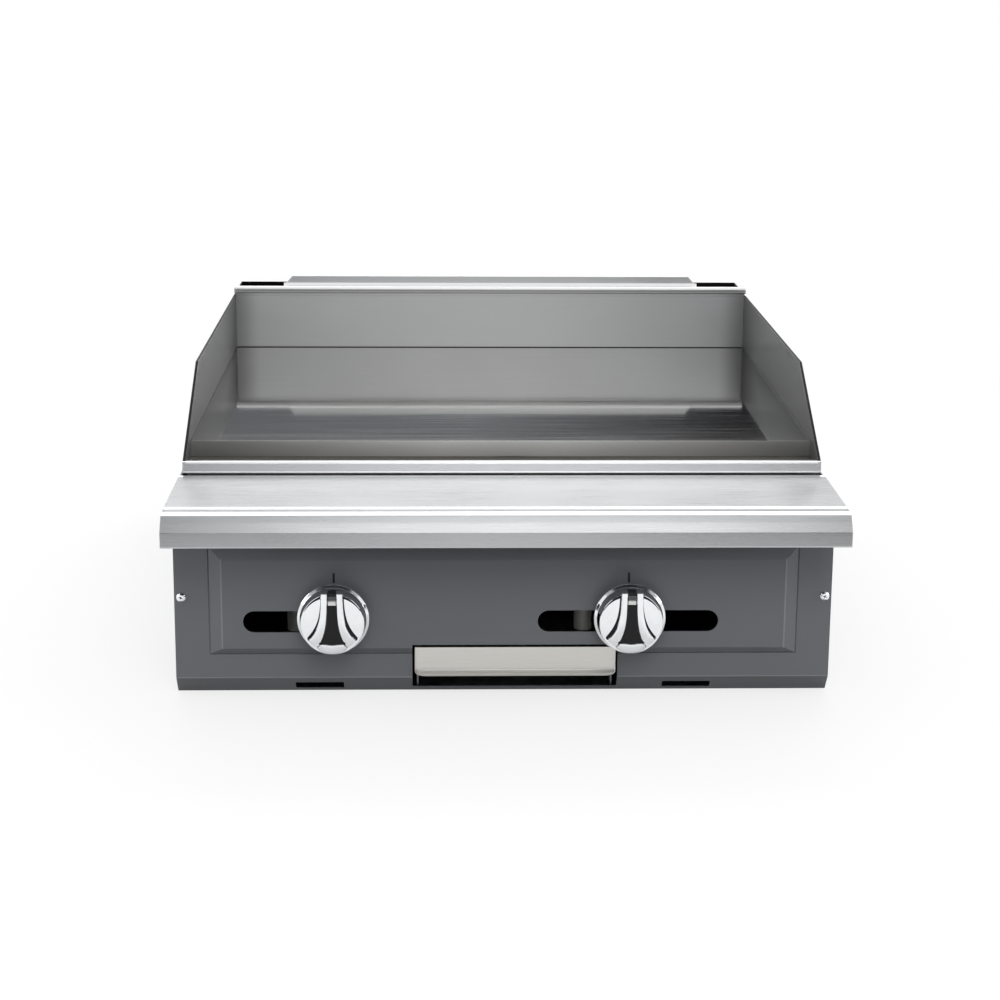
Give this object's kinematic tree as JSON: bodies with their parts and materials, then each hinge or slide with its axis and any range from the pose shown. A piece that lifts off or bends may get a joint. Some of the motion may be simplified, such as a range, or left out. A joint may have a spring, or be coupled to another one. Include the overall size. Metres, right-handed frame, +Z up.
{
  "type": "gas griddle",
  "caption": "Countertop gas griddle: thick steel plate with splashes and grease trough on a dark grey body, stainless front ledge, chrome burner knobs and a pull-out drip tray.",
  "frame": {"origin": "on the standing surface, under the middle of the bounding box (ledge nose to gas inlet)", "axes": "+Z up, -Y towards the front with the knobs, +X to the right seen from the front"},
  "size_m": [0.6156, 0.756, 0.302],
  "materials": {
    "body_paint": "dark grey satin powder coat",
    "galvanised_steel": "bright galvanised sheet",
    "stainless": "brushed stainless, grain along the width",
    "plate_steel": "ground and polished steel plate",
    "tray_steel": "fine satin stainless",
    "black_pipe": "black malleable iron and steel pipe",
    "burner_steel": "aluminised steel, heat-tinted",
    "valve_brass": "turned brass",
    "nickel_plate": "nickel-plated brass, satin",
    "tube_aluminium": "drawn tube",
    "knob_chrome": "bright chrome plate",
    "knob_black": "black moulded insert",
    "zinc_screws": "zinc plated"
  },
  "bodies": {
    "frame": {"base_pan": "galvanised_steel", "left_side_panel": "body_paint", "right_side_panel": "body_paint", "rear_panel": "body_paint", "control_panel": "body_paint", "heat_shield": "galvanised_steel", "plate_support_left": "galvanised_steel", "plate_support_right": "galvanised_steel", "leg_nuts": "zinc_screws", "front_ledge": "stainless", "ledge_bracket_left": "galvanised_steel", "ledge_bracket_right": "galvanised_steel", "griddle_plate": "plate_steel", "left_splash": "stainless", "right_splash": "stainless", "back_splash": "stainless", "grease_trough": "stainless", "drain_chute": "stainless", "flue_riser": "stainless", "flue_deflector": "stainless", "inlet_nipple": "black_pipe", "supply_coupling": "black_pipe", "supply_pipe": "black_pipe", "supply_elbow": "black_pipe", "gas_manifold": "black_pipe", "manifold_plug": "black_pipe", "gas_valve_left": "valve_brass", "gas_valve_right": "valve_brass", "orifice_left": "valve_brass", "orifice_right": "valve_brass", "burner_left": "burner_steel", "burner_right": "burner_steel", "burner_support_front": "galvanised_steel", "burner_support_rear": "galvanised_steel", "pilot_valve_left": "nickel_plate", "pilot_valve_right": "nickel_plate", "pilot_tube_left": "tube_aluminium", "pilot_tube_right": "tube_aluminium", "pilot_burner_left": "burner_steel", "pilot_burner_right": "burner_steel", "tray_rail_left": "galvanised_steel", "tray_rail_right": "galvanised_steel", "panel_screws": "knob_chrome", "rear_screws": "zinc_screws", "side_screws": "zinc_screws"},
    "knob_left_set": {"knob_left": "knob_chrome", "knob_insert_left": "knob_black", "valve_stem_left": "burner_steel"},
    "shutter_left_set": {"air_shutter_left": "burner_steel"},
    "knob_right_set": {"knob_right": "knob_chrome", "knob_insert_right": "knob_black", "valve_stem_right": "burner_steel"},
    "shutter_right_set": {"air_shutter_right": "burner_steel"},
    "tray": {"drip_tray": "tray_steel", "tray_front": "tray_steel"}
  },
  "joints": [
    {"name": "knob_left_turn", "type": "hinge", "parent": "frame", "child": "knob_left_set", "pos_m": [-0.1575, -0.298, 0.0815], "axis": [0, -1, 0], "range_deg": [0, 90]},
    {"name": "knob_right_turn", "type": "hinge", "parent": "frame", "child": "knob_right_set", "pos_m": [0.115, -0.298, 0.0815], "axis": [0, -1, 0], "range_deg": [0, 90]},
    {"name": "shutter_left_turn", "type": "hinge", "parent": "frame", "child": "shutter_left_set", "pos_m": [-0.1575, -0.298, 0.0815], "axis": [0, 1, 0], "range_deg": [0, 60]},
    {"name": "shutter_right_turn", "type": "hinge", "parent": "frame", "child": "shutter_right_set", "pos_m": [0.115, -0.298, 0.0815], "axis": [0, 1, 0], "range_deg": [0, 60]},
    {"name": "tray_slide", "type": "slide", "parent": "frame", "child": "tray", "axis": [0, -1, 0], "range_m": [0, 0.36]}
  ]
}
